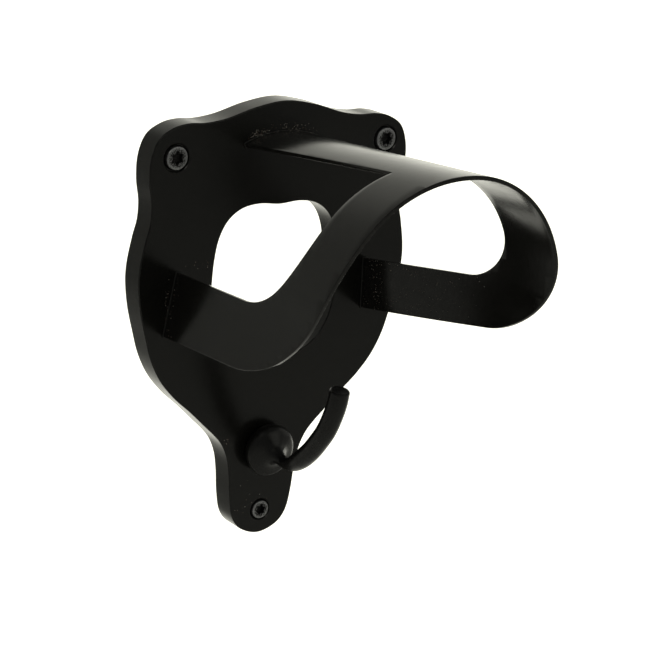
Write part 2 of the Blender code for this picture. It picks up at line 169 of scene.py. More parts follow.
def settle(obj):
    # the evaluated shape as a new mesh object in place of the old one
    depsgraph = bpy.context.evaluated_depsgraph_get()
    mesh = bpy.data.meshes.new_from_object(obj.evaluated_get(depsgraph))
    name = obj.name
    bpy.data.objects.remove(obj)
    mesh.name = name
    done = bpy.data.objects.new(name, mesh)
    scene.collection.objects.link(done)
    return done


# shaping helpers: every piece is shaped in millimetres and set to metres at its end
def makeObject(name, bm):
    bmesh.ops.recalc_face_normals(bm, faces=bm.faces)
    mesh = bpy.data.meshes.new(name)
    bm.to_mesh(mesh)
    bm.free()
    obj = bpy.data.objects.new(name, mesh)
    scene.collection.objects.link(obj)
    return obj


def finishPiece(obj, coat, angle):
    mesh = obj.data
    mesh.transform(Matrix.Scale(mm, 4))
    mesh.materials.clear()
    mesh.materials.append(coat)
    mesh.polygons.foreach_set("material_index", [0] * len(mesh.polygons))
    mesh.shade_smooth()
    mesh.set_sharp_from_angle(angle=math.radians(angle))
    return obj


def carve(obj, tools, operation="DIFFERENCE"):
    # all tools act in one go, so that no cut works on another cut's leftovers
    chest = bpy.data.collections.new("tools")
    for tool in tools:
        chest.objects.link(tool)
    cut = obj.modifiers.new("carve", "BOOLEAN")
    cut.operand_type, cut.operation, cut.solver, cut.collection = "COLLECTION", operation, "EXACT", chest
    done = settle(obj)
    for tool in tools:
        bpy.data.objects.remove(tool)
    bpy.data.collections.remove(chest)
    return done


def curveThrough(points, step):
    points = [Vector(p) for p in points]
    out = []
    for i in range(len(points) - 1):
        a, b = points[i], points[i + 1]
        before = points[i - 1] if i else a
        after = points[i + 2] if i + 2 < len(points) else b
        length = (b - a).length
        tanA = (b - before) / max((b - a).length + (a - before).length, 1e-9) * length
        tanB = (after - a) / max((after - b).length + length, 1e-9) * length
        count = max(1, round(length / step))
        out += [p.copy() for p in interpolate_bezier(a, a + tanA / 3, b - tanB / 3, b, count + 1)[:-1]]
    return out + [points[-1]]


def wholeOutline(half, step):
    # closed outline from its right half, level at top and bottom centre
    ghostTop, ghostBottom = (-half[1][0], half[1][1]), (-half[-2][0], half[-2][1])
    right = curveThrough([(x, 0, z) for x, z in [ghostTop, *half, ghostBottom]], step)
    first = min(range(len(right)), key=lambda i: (right[i] - Vector((half[0][0], 0, half[0][1]))).length)
    last = min(range(len(right)), key=lambda i: (right[i] - Vector((half[-1][0], 0, half[-1][1]))).length)
    right = [(p.x, p.z) for p in right[first:last + 1]]
    return right + [(-x, z) for x, z in reversed(right[1:-1])]


def inset(outline, distance):
    out = []
    for i, (x, z) in enumerate(outline):
        (ax, az), (bx, bz) = outline[i - 1], outline[(i + 1) % len(outline)]
        tx, tz = bx - ax, bz - az
        size = math.hypot(tx, tz)
        out.append((x + tz / size * distance, z - tx / size * distance))
    return out


def ring(bm, points):
    return [bm.verts.new(p) for p in points]


def bridge(bm, first, second):
    return [bm.faces.new((first[i], first[(i + 1) % len(first)], second[(i + 1) % len(first)], second[i]))
            for i in range(len(first))]


def turn(name, profile, centre, sides=72):
    # turned shape round a line parallel to Y, from (radius, y) pairs
    bm = bmesh.new()
    rings = [ring(bm, [(centre[0] + r * math.cos(2 * math.pi * i / sides), y,
                        centre[1] + r * math.sin(2 * math.pi * i / sides)) for i in range(sides)])
             for r, y in profile]
    for a, b in zip(rings, rings[1:]):
        bridge(bm, a, b)
    bm.faces.new(rings[0])
    bm.faces.new(rings[-1])
    return makeObject(name, bm)


def block(name, outline, y0, y1):
    bm = bmesh.new()
    a, b = ring(bm, [(x, y0, z) for x, z in outline]), ring(bm, [(x, y1, z) for x, z in outline])
    bridge(bm, a, b)
    bm.faces.new(a)
    bm.faces.new(b)
    return makeObject(name, bm)


def centreOf(node):
    low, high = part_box(node)
    return (low.x + high.x) / 2 / mm, (low.z + high.z) / 2 / mm


plateLow, plateHigh = (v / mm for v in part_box("back_plate"))
plateFront = plateLow.y


# camera
view = dict(place=(-0.4674, -0.7002, 0.2759), azimuth=-35.61, elevation=16.11, roll=4.33,
            lens=120.2, shift=-0.001)


def addCamera():
    azimuth, elevation, roll = (math.radians(view[k]) for k in ("azimuth", "elevation", "roll"))
    back = Vector((math.sin(azimuth) * math.cos(elevation), -math.cos(azimuth) * math.cos(elevation),
                   math.sin(elevation)))
    right = Vector((math.cos(azimuth), math.sin(azimuth), 0))
    up = back.cross(right)
    across = math.cos(roll) * right + math.sin(roll) * up
    upright = math.cos(roll) * up - math.sin(roll) * right
    data = bpy.data.cameras.new("camera")
    data.lens, data.sensor_width, data.shift_x = view["lens"], 36, view["shift"]
    data.clip_start, data.clip_end = 0.05, 20
    camera = bpy.data.objects.new("camera", data)
    scene.collection.objects.link(camera)
    turned = Matrix((across, upright, back)).transposed().to_4x4()
    camera.matrix_world = Matrix.Translation(view["place"]) @ turned
    scene.camera = camera


addCamera()
print("camera placed")


# finishes
coatLook = dict(
    tone=(0.0088, 0.0087, 0.0072),         # satin black, a touch warm
    shades=(0.7, 1.7),                     # darkest and lightest share of the tone
    cloud=38, mottle=0.9,                  # slow and fine unevenness of the tone, sizes in mm
    worn=(0.030, 0.029, 0.026), wornSize=3.2, wornShare=0.8,    # rubbed patches on the arrises
    roughness=0.23,
    grain=0.34, grainDepth=0.004,          # powder grain, size and height in mm
    peel=2.6, peelDepth=0.014,             # slow orange peel under the grain
    dust=(0.16, 0.15, 0.135), film=0.9, filmShare=0.12,         # haze of dust, size in mm
    speck=2.4, speckSize=0.07,             # spacing and radius of lint specks, mm
    crumb=0.40, crumbSize=0.12, crumbHeight=0.06,               # the same of dust crumbs, mm
    crumbTones=((0.20, 0.11, 0.065), (0.85, 0.81, 0.72)),
    clump=2.4,                             # size of the clumps that crumbs lie in, mm
    drifts=(),                             # where crumbs gather: x, z, half width, half height, share
    rougher=dict(grain=0.16, cloud=0.12, worn=-0.08, dust=0.35, crumbs=0.5),
)
rootDrifts = (
    (0.0, 112.0, 17.0, 4.6, 0.75), (-8.0, 111.2, 11.0, 4.6, 1.0), (-49.6, 48.0, 1.2, 16.0, 0.35),
    (-35.0, 61.8, 8.0, 2.0, 0.35), (-18.0, -13.0, 1.6, 1.6, 0.5), (-6.0, -40.0, 13.0, 11.0, 0.05),
)
hookLook = dict(coatLook, tone=(0.0098, 0.0096, 0.0086), roughness=0.30, grain=0.5, grainDepth=0.006,
                peel=4.5, peelDepth=0.05)
steelLook = dict(
    # shade: the colour of the painted shade in and round the drives, and of the grime blotches
    tone=(0.56, 0.565, 0.57), shade=(0.028, 0.028, 0.027), roughness=0.32,
    blotch=0.55, fineScale=5200.0,         # size of the blotches, mm, and scale of the fine noise
    ringPitch=0.12, ringDepth=0.0016, fineDepth=0.006,          # turning marks, mm
)


def driftMask(graph, place, drifts):
    # each drift's share in its middle, fading to 0 at its edge, on the plate's front only
    across = graph.add("ShaderNodeSeparateXYZ", {}, {"Vector": place})
    back, upright = across.other("Y"), across.other("Z")
    total = across * 0
    for x, z, halfWide, halfTall, share in drifts:
        u, v = (across - x * mm) / (halfWide * mm), (upright - z * mm) / (halfTall * mm)
        total = graph.math("MAXIMUM", total, graph.band(u * u + v * v, 1.0, 0.1) * share)
    return total * graph.math("LESS_THAN", back, (plateFront + 2) * mm)


def powderCoat(name, look):
    material, graph, place = newMaterial(name)

    def noise(size, *more):
        return graph.noise(place, 1 / (size * mm), *more)
    grain, peel, cloud = noise(look["grain"], 3, 0.6), noise(look["peel"], 1), noise(look["cloud"], 3)
    wear = (graph.attribute("arris") * graph.band(noise(look["wornSize"], 4, 0.65), 0.42, 0.66)).clamped()
    # lint: small dots in a jittered lattice, most of them dropped
    distance, chance = graph.cells(place, look["speck"])
    size = look["speckSize"] / look["speck"] * (0.5 + chance.other("Green") * 1.1)
    lint = graph.band(distance / size, 1.25, 0.8) * graph.band(chance, 0.80, 0.86)
    lint = lint * (0.25 + 0.75 * chance.other("Blue"))
    settled = graph.attribute("dust")
    film = (settled * graph.band(noise(look["film"], 4, 0.7), 0.34, 0.72)).clamped()
    powder = (lint * (0.30 + 1.6 * settled) + film * look["filmShare"]).clamped()
    # crumbs: a closer lattice, kept where dust has gathered
    distance, odds = graph.cells(place, look["crumb"])
    gathered = driftMask(graph, place, look["drifts"]) * graph.band(noise(look["clump"], 2), 0.36, 0.62)
    here = graph.math("LESS_THAN", odds, gathered + settled * 0.10)
    size = look["crumbSize"] / look["crumb"] * (0.45 + odds.other("Green"))
    crumbs = graph.band(distance / size, 1.2, 0.7) * here
    dark, light = (opaque(c * share for c in look["tone"]) for share in look["shades"])
    uneven = graph.band(cloud, 0.35, 0.7) * 0.3 + graph.band(noise(look["mottle"], 3, 0.8), 0.35, 0.65) * 0.7
    base = graph.mixColour(uneven, dark, light)
    base = graph.mixColour(wear * look["wornShare"], base, opaque(look["worn"]))
    base = graph.mixColour(powder, base, opaque(look["dust"]))
    darkCrumb, paleCrumb = (opaque(tone) for tone in look["crumbTones"])
    base = graph.mixColour(crumbs, base, graph.mixColour(odds.other("Blue"), darkCrumb, paleCrumb))
    rougher = look["rougher"]
    roughness = look["roughness"] + (grain - 0.5) * rougher["grain"] + (cloud - 0.5) * rougher["cloud"]
    roughness = roughness + wear * rougher["worn"] + powder * rougher["dust"] + crumbs * rougher["crumbs"]
    peeled = graph.bump((peel - 0.5) * (look["peelDepth"] * mm))
    height = (grain - 0.5) * (look["grainDepth"] * mm) + crumbs * (look["crumbHeight"] * mm)
    shader = graph.add("ShaderNodeBsdfPrincipled", {}, {
        "Base Color": base, "Roughness": roughness.clamped(), "Normal": graph.bump(height, Normal=peeled),
        "IOR": 1.5})
    graph.add("ShaderNodeOutputMaterial", {}, {"Surface": shader})
    return material


def zincSteel(name, look):
    material, graph, place = newMaterial(name)
    blotch = graph.noise(place, 1 / (look["blotch"] * mm), 3.0)
    fine = graph.noise(place, look["fineScale"], 2.0)
    across, sunk = graph.attribute("across"), graph.attribute("sunk")    # mm from the axis; painted shade, 1 inside the drive and fading out across the head
    rings = graph.math("SINE", across * (2 * math.pi / look["ringPitch"]) + fine * 2.5)
    # painted shade darkens the drive recess and the face round it; random grime blotches, denser near the drive, are
    # mixed in
    grimeAndDriveShade = (sunk * 0.9 + graph.band(blotch, 0.44, 0.56) * (0.35 + sunk * 1.4)).clamped()
    base = graph.mixColour(grimeAndDriveShade, opaque(look["tone"]), opaque(look["shade"]))
    roughness = look["roughness"] + (blotch - 0.5) * 0.25 + grimeAndDriveShade * 0.2
    bump = graph.bump(rings * (look["ringDepth"] * mm) + fine * (look["fineDepth"] * mm))
    shader = graph.add("ShaderNodeBsdfPrincipled", {}, {
        "Base Color": base, "Roughness": roughness.clamped(), "Metallic": 1.0 - grimeAndDriveShade * 0.3, "Normal": bump})
    graph.add("ShaderNodeOutputMaterial", {}, {"Surface": shader})
    return material


plateCoat = powderCoat("plateCoat", dict(coatLook, drifts=rootDrifts))
cradleCoat = powderCoat("cradleCoat", dict(coatLook, tone=(0.0095, 0.0093, 0.0080), roughness=0.20))
hookCoat = powderCoat("hookCoat", hookLook)
screwSteel = zincSteel("screwSteel", steelLook)
print("finishes made")


# cradle: one flat blank, folded by a rule
cradleLook = dict(
    sheet=1.55, gap=0.3,
    crest=112.7, rise=0.074, lean=-0.038, reach=121.5, frontSweep=0.072,
    radius=(43.6, 51.0),                   # outside radius at the plate and at the front edge
    strapHalf=13.8, shoulder=3.0, pocket=4.0, pocketMargin=0.8, flange=10.0,
    left=dict(wrap=(79.9, 91.2), flare=5.4, band=26.6, leg=25.7, foot=34.3, outer=65.5, inner=37.3,
              run=(0.036, 0.036)),
    right=dict(wrap=(88.2, 105.2), flare=4.5, band=27.6, leg=21.0, foot=37.0, outer=36.3, inner=24.5,
               run=(-0.062, -0.043)),
    foldStep=1.5, rowStep=5.0,
    arris=(0.20, 0.09),                    # rounding of the cut edges, outside and inside
    step=0.2,                              # a leg ends this far short of its flange's back
    bore=2.3,                              # radius of the hole in a flange
    rootDust=(0.6, 7), legDust=(0.8, 85),  # share at the plate, and the reach where it ends
)
tabEnd = -plateFront - cradleLook["pocket"] + cradleLook["gap"] + cradleLook["sheet"] - cradleLook["step"]
tabNames = ("top", "left", "right")


def legGirths(side):
    radius, wrap = cradleLook["radius"][0], math.radians(side["wrap"][0])
    drop = cradleLook["crest"] - radius * (1 - math.cos(wrap)) - side["foot"]
    low = radius * wrap + drop / math.sin(wrap)
    return low, low - side["leg"]


def roundedCorner(point, corner, after, radius, steps):
    a, c, b = Vector(point), Vector(corner), Vector(after)
    u, v = (a - c).normalized(), (b - c).normalized()
    half = u.angle(v) / 2
    reach = min(radius / math.tan(half), 0.97 * (a - c).length, 0.97 * (b - c).length)
    radius = reach * math.tan(half)
    centre = c + (u + v).normalized() * radius / math.sin(half)
    start, end = c + u * reach - centre, c + v * reach - centre
    sweep = math.pi - 2 * half
    return [centre + (start * math.sin((1 - k / steps) * sweep) + end * math.sin(k / steps * sweep))
            / math.sin(sweep) for k in range(steps + 1)]


def halfBlank(side):
    look = cradleLook
    low, high = legGirths(side)
    (lowRun, highRun), sweep, gap, shoulder = side["run"], look["frontSweep"], look["gap"], look["shoulder"]
    frontReach = (look["reach"] - sweep * low) / (1 + sweep * lowRun)
    rear = look["reach"] - side["band"]
    rearReach = (rear - sweep * high) / (1 + sweep * highRun)
    corner = (look["strapHalf"], rear - sweep * look["strapHalf"])
    points = [(0, look["reach"])]
    points += roundedCorner((0, look["reach"]), (low + lowRun * frontReach, frontReach), (low, 0),
                            side["outer"], 48)
    points += [(low, gap), (low - shoulder, gap), (low - shoulder, -tabEnd),
               (high + shoulder, -tabEnd), (high + shoulder, gap), (high, gap)]
    points += roundedCorner((high, 0), (high + highRun * rearReach, rearReach), corner, side["inner"], 36)
    root = look["strapHalf"] + side["flare"]
    points += [corner, (root, gap), (root - shoulder, gap), (root - shoulder, -tabEnd)]
    return [(p[0], p[1]) for p in points]


def cradlePoint(girth, reach, depth):
    # a point of the blank, folded; girth is negative on the left
    look = cradleLook
    side, sign, girth = (look["right"], 1, girth) if girth >= 0 else (look["left"], -1, -girth)
    share = max(reach, 0) / look["reach"]
    radius = look["radius"][0] + (look["radius"][1] - look["radius"][0]) * share
    wrap = math.radians(side["wrap"][0] + (side["wrap"][1] - side["wrap"][0]) * share)
    angle, straight = min(girth / radius, wrap), max(girth - radius * wrap, 0)
    x = (radius - depth) * math.sin(angle) + straight * math.cos(wrap)
    z = look["crest"] - radius + (radius - depth) * math.cos(angle) - straight * math.sin(wrap)
    return Vector((sign * x + look["lean"] * max(reach, 0), plateFront - reach, z + look["rise"] * max(reach, 0)))


def makeFoldTree():
    # the blank lies in X (girth) and Y (reach), its thickness in Z; the tree bends it over the arch
    look = cradleLook
    tree, graph, given = newTree("foldBlank", [
        ("Reach", "Float", look["reach"]), ("Radius at plate", "Float", look["radius"][0]),
        ("Radius at front", "Float", look["radius"][1]), ("Left wrap at plate", "Float", look["left"]["wrap"][0]),
        ("Left wrap at front", "Float", look["left"]["wrap"][1]),
        ("Right wrap at plate", "Float", look["right"]["wrap"][0]),
        ("Right wrap at front", "Float", look["right"]["wrap"][1]), ("Crest", "Float", look["crest"]),
        ("Rise", "Float", look["rise"]), ("Lean", "Float", look["lean"]), ("Plate front", "Float", plateFront),
        ("Coat", "Material", None)])
    flat = graph.add("ShaderNodeSeparateXYZ", {}, {"Vector": graph.add("GeometryNodeInputPosition")})
    side, reach, depth = flat, flat.other("Y"), flat.other("Z")
    girth, forward = graph.math("ABSOLUTE", side), graph.math("MAXIMUM", reach, 0.0)
    isLeft = graph.math("LESS_THAN", side, 0.0)
    share = forward / given.other("Reach")

    def between(first, second):
        return given.other(first) + (given.other(second) - given.other(first)) * share
    radius = between("Radius at plate", "Radius at front")
    wrap = (between("Left wrap at plate", "Left wrap at front") * isLeft
            + between("Right wrap at plate", "Right wrap at front") * (1 - isLeft)) * (math.pi / 180)
    angle = graph.math("MINIMUM", girth / radius, wrap)
    straight = graph.math("MAXIMUM", girth - radius * wrap, 0.0)
    inner = radius - depth
    x = inner * graph.math("SINE", angle) + straight * graph.math("COSINE", wrap)
    x = x * (1 - 2 * isLeft) + given.other("Lean") * forward
    z = given.other("Crest") - radius + inner * graph.math("COSINE", angle)
    z = z - straight * graph.math("SINE", wrap) + given.other("Rise") * forward
    folded = graph.add("ShaderNodeCombineXYZ", {}, {"X": x, "Y": given.other("Plate front") - reach, "Z": z})
    moved = graph.add("GeometryNodeSetPosition", {}, {"Geometry": given.other("Geometry"), "Position": folded})
    real = graph.add("GeometryNodeRealizeInstances", {}, {"Geometry": moved})
    coated = graph.add("GeometryNodeSetMaterial", {}, {"Geometry": real, "Material": given.other("Coat")})
    graph.add("NodeGroupOutput", {}, {"Geometry": coated})
    return tree


foldTree = makeFoldTree()


def foldBlank(name, outline, depths, foldStep, rowStep, arris=0):
    bm = bmesh.new()
    outside = bm.faces.new(ring(bm, [(g, r, depths[0]) for g, r in outline]))
    inside = bmesh.ops.extrude_face_region(bm, geom=[outside])["geom"]
    lifted = [v for v in inside if isinstance(v, bmesh.types.BMVert)]
    bmesh.ops.translate(bm, verts=lifted, vec=(0, 0, depths[1] - depths[0]))
    bmesh.ops.recalc_face_normals(bm, faces=bm.faces)
    edgeLayer = bm.verts.layers.float.new("arris")
    if arris:
        for depth, offset in zip(depths, arris):         # the punched side is crisper than the outside
            rims = [e for e in bm.edges if all(abs(v.co.z - depth) < 1e-6 for v in e.verts)]
            bmesh.ops.bevel(bm, geom=rims, offset=offset, segments=3, profile=0.5, affect="EDGES",
                            clamp_overlap=True)
    for v in bm.verts:                               # the rounded rim is where a coat gets rubbed
        onFace = abs(v.co.z - depths[0]) < 1e-5 or abs(v.co.z - depths[1]) < 1e-5
        v[edgeLayer] = 0.35 if onFace else 1.0
    girths, reaches = [g for g, _ in outline], [r for _, r in outline]
    for axis, values, step in ((0, girths, foldStep), (1, reaches, rowStep)):
        for k in range(math.ceil(min(values) / step), math.floor(max(values) / step) + 1):
            normal = (1, 0, 0) if axis == 0 else (0, 1, 0)
            at = tuple(c * k * step for c in normal)
            bmesh.ops.bisect_plane(bm, geom=bm.verts[:] + bm.edges[:] + bm.faces[:], dist=1e-5,
                                   plane_co=at, plane_no=normal)
    bmesh.ops.triangulate(bm, faces=[f for f in bm.faces if len(f.verts) > 4])
    flat = makeObject(name, bm)
    return grow(flat, foldTree, {"Coat": cradleCoat})


def tabPlan(name):
    # girths at a tab's two edges, and the way its end is turned over
    look = cradleLook
    if name == "top":
        return (-(look["strapHalf"] + look["left"]["flare"] - look["shoulder"]),
                look["strapHalf"] + look["right"]["flare"] - look["shoulder"])
    low, high = legGirths(look[name])
    sign = -1 if name == "left" else 1
    return sign * (high + look["shoulder"]), sign * (low - look["shoulder"])


def flangeOutline(name):
    first, last = tabPlan(name)
    stepIn = math.copysign(0.5, last - first)
    root = [cradlePoint(first + stepIn + (last - first - 2 * stepIn) * k / 24, 0, cradleLook["sheet"] / 2)
            for k in range(25)]
    root = [(p.x, p.z) for p in root]
    if name == "top":
        far = min(z for _, z in root) - cradleLook["flange"]
        return root + [(root[-1][0], far), (root[0][0], far)]
    sign = math.copysign(1, root[0][0])
    inner = min(abs(x) for x, _ in root) - cradleLook["flange"]
    return root + [(sign * inner, root[-1][1]), (sign * inner, root[0][1])]


def makeCradle():
    look = cradleLook
    right, left = halfBlank(look["right"]), halfBlank(look["left"])
    blank = right + [(-g, r) for g, r in reversed(left[1:])]
    cradle = foldBlank("cradleShell", blank, (0, look["sheet"]), look["foldStep"], look["rowStep"],
                       look["arris"])
    back = -look["pocket"] + look["gap"]
    flanges = [block("flange" + name, flangeOutline(name), back, back + look["sheet"]) for name in tabNames]
    boreLine = [(look["bore"], back - 1), (look["bore"], 1)]
    bores = [turn("bore" + name, boreLine, centreOf("tab_screw_" + name), 48) for name in tabNames]
    cradle = carve(cradle, flanges, "UNION")
    cradle = carve(cradle, bores)
    # dust settles where each leg and the strap meet the plate, and all along the right leg's inside
    dust = cradle.data.attributes.new("dust", "FLOAT", "POINT")
    (rootShare, rootEnd), (legShare, legEnd) = look["rootDust"], look["legDust"]
    for v, item in zip(cradle.data.vertices, dust.data):
        forward = max(plateFront - v.co.y, 0)
        insideRight = v.co.x > 0 and v.co.z < 90 and v.normal.x < -0.3
        onRoot = rootShare * max(0.0, 1 - forward / rootEnd)
        onLeg = legShare * max(0.0, 1 - forward / legEnd) if insideRight else 0.0
        item.value = max(onRoot, onLeg)
    return finishPiece(cradle, cradleCoat, 40)


cradle = makeCradle()
print("cradle folded:", len(cradle.data.polygons), "faces")


# back plate
plateLook = dict(
    outline=[(0, 124.7), (13.7, 122.7), (26.9, 118.9), (36.0, 117.6), (43.5, 117.7), (50.3, 116.3), (56.5, 112.3),
             (59.6, 104.6), (59.8, 95.2), (58.4, 86.6), (58.6, 79.4), (60.3, 72.6), (62.2, 62.4), (62.4, 55.0),
             (61.0, 45.0), (58.3, 34.8), (55.2, 24.9), (50.4, 15.9), (43.6, 8.0), (36.2, 1.5), (29.3, -5.0),
             (21.1, -13.2), (17.5, -20.2), (15.9, -28.0), (14.8, -38.6), (12.9, -47.0), (8.6, -52.3), (0, -55.1)],
    window=[(0, 83.4), (9.6, 84.1), (17.6, 82.6), (23.6, 78.2), (27.2, 71.4), (28.8, 63.0), (29.3, 54.0),
            (29.2, 44.4), (26.6, 34.0), (21.2, 26.2), (13.2, 21.4), (0, 19.3)],
    step=1.1,
    arris=0.5, arrisSteps=5,
    seatChamfer=0.3,
)
# seat of each screw: margin of air round its head, straight depth under its top, shank radius
seatLook = dict(
    wall_screw_upper_left=dict(margin=1.0, rim=2.2, shank=2.5),
    wall_screw_upper_right=dict(margin=1.0, rim=2.2, shank=2.5),
    wall_screw_lower=dict(margin=0.7, rim=2.2, shank=2.0),
)


def seatTool(node):
    look, (low, high) = seatLook[node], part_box(node)
    head = (high.x - low.x) / 2 / mm
    bore, cone, top = head + look["margin"], head + cradleLook["gap"], low.y / mm + cradleLook["gap"]
    chamfer = plateLook["seatChamfer"]
    floor = top + look["rim"]
    shank = look["shank"] + cradleLook["gap"]
    return turn("seat" + node, [(bore + chamfer + 1, plateFront - 1), (bore + chamfer, plateFront),
                                (bore, plateFront + chamfer), (bore, floor), (cone, floor),
                                (shank, floor + cone - shank), (shank, 1)], centreOf(node))


def pocketTool(name):
    first, last = tabPlan(name)
    edge = [cradlePoint(g, 0, 0) for g in (first, (first + last) / 2, last)]
    points = [(p.x, p.z) for p in edge] + flangeOutline(name)
    xs, zs, margin, radius = [p[0] for p in points], [p[1] for p in points], cradleLook["pocketMargin"], 1.5
    low, high = (min(xs) - margin, min(zs) - margin), (max(xs) + margin, max(zs) + margin)
    corners = [(high[0] - radius, high[1] - radius, 0), (low[0] + radius, high[1] - radius, 90),
               (low[0] + radius, low[1] + radius, 180), (high[0] - radius, low[1] + radius, 270)]
    turns = [(x, z, math.radians(start + 15 * k)) for x, z, start in corners for k in range(7)]
    outline = [(x + radius * math.cos(angle), z + radius * math.sin(angle)) for x, z, angle in turns]
    return block("pocket" + name, outline, -cradleLook["pocket"], 1)


def slotTool(name):
    gap, (first, last) = cradleLook["gap"], tabPlan(name)
    low, high = min(first, last) - gap, max(first, last) + gap
    inner = plateFront + cradleLook["pocket"] / 2
    return foldBlank("slot" + name, [(low, 2), (high, 2), (high, inner), (low, inner)],
                     (-gap, cradleLook["sheet"] + gap), 1.5, 30)


def makePlate():
    look = plateLook
    outer = wholeOutline(look["outline"], look["step"])
    xs, zs = [x for x, _ in outer], [z for _, z in outer]
    # the drawn outline is set to the plate's box
    wide, tall = (plateHigh.x - plateLow.x) / (max(xs) - min(xs)), (plateHigh.z - plateLow.z) / (max(zs) - min(zs))
    outer = [(x * wide, z * tall) for x, z in outer]
    window = [(x * wide, z * tall) for x, z in wholeOutline(look["window"], look["step"])]
    arris, steps = look["arris"], look["arrisSteps"]
    profile = [(arris * (1 - math.sin(a)), plateFront + arris * (1 - math.cos(a)))
               for a in (math.pi / 2 * i / steps for i in range(steps + 1))]
    profile += [(d, plateFront - y) for d, y in reversed(profile)]
    bm = bmesh.new()
    layer = bm.verts.layers.float.new("arris")
    rims = {}
    for outline, sign in ((outer, 1), (window, -1)):
        loops = [ring(bm, [(x, y, z) for x, z in inset(outline, sign * d)]) for d, y in profile]
        for (d, _), loop in zip(profile, loops):
            for v in loop:
                v[layer] = 1.0 if 0.02 < d < arris * 0.9 else 0.0
        for a, b in zip(loops, loops[1:]):
            bridge(bm, a, b)
        rims[sign] = (loops[0], loops[-1])
    for side in (0, 1):
        edges = [bm.edges.get((loop[i - 1], loop[i])) for loop in (rims[1][side], rims[-1][side])
                 for i in range(len(loop))]
        bmesh.ops.triangle_fill(bm, use_beauty=True, use_dissolve=False, edges=edges)
    plate = makeObject("plateBody", bm)
    tools = [seatTool(node) for node in seatLook]
    tools += [slotTool(name) for name in tabNames] + [pocketTool(name) for name in tabNames]
    bore = cradleLook["bore"]
    boreLine = [(bore, plateFront + 2), (bore, 1)]
    tools += [turn("bore" + name, boreLine, centreOf("tab_screw_" + name)) for name in tabNames]
    # radius and depth down the countersunk hole behind the hook
    hookSeat = [(4.1, 1), (4.1, -0.6), (bore, -2.4), (bore, plateFront - 1)]
    tools.append(turn("hookSeat", hookSeat, centreOf("hook_screw")))
    plate = finishPiece(carve(plate, tools), plateCoat, 32)
    even = plate.modifiers.new("evenNormals", "WEIGHTED_NORMAL")    # keeps the flat faces flat up to the arris
    even.keep_sharp = True
    return plate


plate = makePlate()
print("plate cut:", len(plate.data.polygons), "faces")


# hook: a swept rod with a turned foot
hookDims = dict(
    path=[(0, 0), (6.0, 0), (10.4, -0.7), (15.4, -1.5), (20.7, -0.2), (26.7, 3.7), (32.5, 8.8), (37.4, 14.4),
          (42.1, 20.7), (45.4, 27.1), (47.9, 33.6), (48.9, 38.6)],
    radii=[(0, 8.8), (1.4, 9.9), (3.2, 10.6), (5.0, 10.7), (6.0, 10.0), (6.8, 8.4), (7.8, 6.2), (9.2, 4.3),
           (11.2, 3.0), (13.6, 2.4), (16.4, 2.4), (20.4, 3.0), (25.4, 3.7), (31.0, 4.0), (90.0, 4.0)],
    tip=0.7, step=0.5, sides=64,
)


def radiusAt(distance, table):
    # smooth curve through (distance, radius) pairs
    for i in range(len(table) - 1):
        (d0, r0), (d1, r1) = table[i], table[i + 1]
        if distance <= d1:
            before = table[i - 1] if i else table[i]
            after = table[i + 2] if i + 2 < len(table) else table[i + 1]
            slope0 = (r1 - before[1]) / (d1 - before[0])
            slope1 = (after[1] - r0) / (after[0] - d0)
            t, h = (distance - d0) / (d1 - d0), d1 - d0
            return ((2 * t ** 3 - 3 * t ** 2 + 1) * r0 + (t ** 3 - 2 * t ** 2 + t) * h * slope0
                    + (3 * t ** 2 - 2 * t ** 3) * r1 + (t ** 3 - t ** 2) * h * slope1)
    return table[-1][1]


def makeRodTree():
    tree, graph, given = newTree("sweptRod", [("Sides", "Int", 48), ("Thickness", "Float", 1.0),
                                              ("Coat", "Material", None)])
    circle = graph.add("GeometryNodeCurvePrimitiveCircle", {}, {"Resolution": given.other("Sides"), 4: 1.0})
    girth = graph.add("GeometryNodeInputRadius") * given.other("Thickness")
    swept = graph.add("GeometryNodeCurveToMesh", {}, {"Curve": given.other("Geometry"), "Profile Curve": circle,
                                                      "Scale": girth, "Fill Caps": True})
    real = graph.add("GeometryNodeRealizeInstances", {}, {"Geometry": swept})
    coated = graph.add("GeometryNodeSetMaterial", {}, {"Geometry": real, "Material": given.other("Coat")})
    graph.add("NodeGroupOutput", {}, {"Geometry": coated})
    return tree


rodTree = makeRodTree()


def polyCurve(name, runs):
    # runs of (point, radius); closed runs carry True
    data = bpy.data.curves.new(name, "CURVE")
    data.dimensions = "3D"
    for points, closed in runs:
        spline = data.splines.new("POLY")
        spline.points.add(len(points) - 1)
        for target, (point, radius) in zip(spline.points, points):
            target.co = (*point, 1)
            target.radius = radius
        spline.use_cyclic_u = closed
    obj = bpy.data.objects.new(name, data)
    scene.collection.objects.link(obj)
    return obj


def makeHook():
    look, (low, high) = hookDims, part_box("hook")
    foot = high.y / mm                                 # its flat end, a hair in front of the plate
    axis = low.z / mm + max(r for _, r in look["radii"])
    path = curveThrough([(0, foot - forward, axis + up) for forward, up in look["path"]], look["step"])
    travelled, run = 0.0, []
    for i, point in enumerate(path):
        travelled += (point - path[i - 1]).length if i else 0
        run.append((point, radiusAt(travelled, look["radii"])))
    ahead, end, tip = (path[-1] - path[-2]).normalized(), run[-1], look["tip"]
    for k in range(1, 5):                              # rounded rim of the blunt end
        a = math.pi / 2 * k / 4
        run.append((end[0] + ahead * (tip * math.sin(a)), end[1] - tip * (1 - math.cos(a))))
    rim = run[0]
    run = [(rim[0], rim[1] - 0.5), (rim[0] + Vector((0, -0.25, 0)), rim[1] - 0.12)] + [
        p for p in run if p[0].y < foot - 0.55 or p[0].z > axis + 4]
    hook = grow(polyCurve("hookBody", [(run, False)]), rodTree, {"Sides": look["sides"], "Coat": hookCoat})
    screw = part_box("hook_screw")
    bore = turn("hookBore", [(2.3, 1), (2.3, screw[0].y / mm - 0.3)], centreOf("hook_screw"))
    return finishPiece(carve(hook, [bore]), hookCoat, 50)


hook = makeHook()
print("hook swept:", len(hook.data.polygons), "faces")


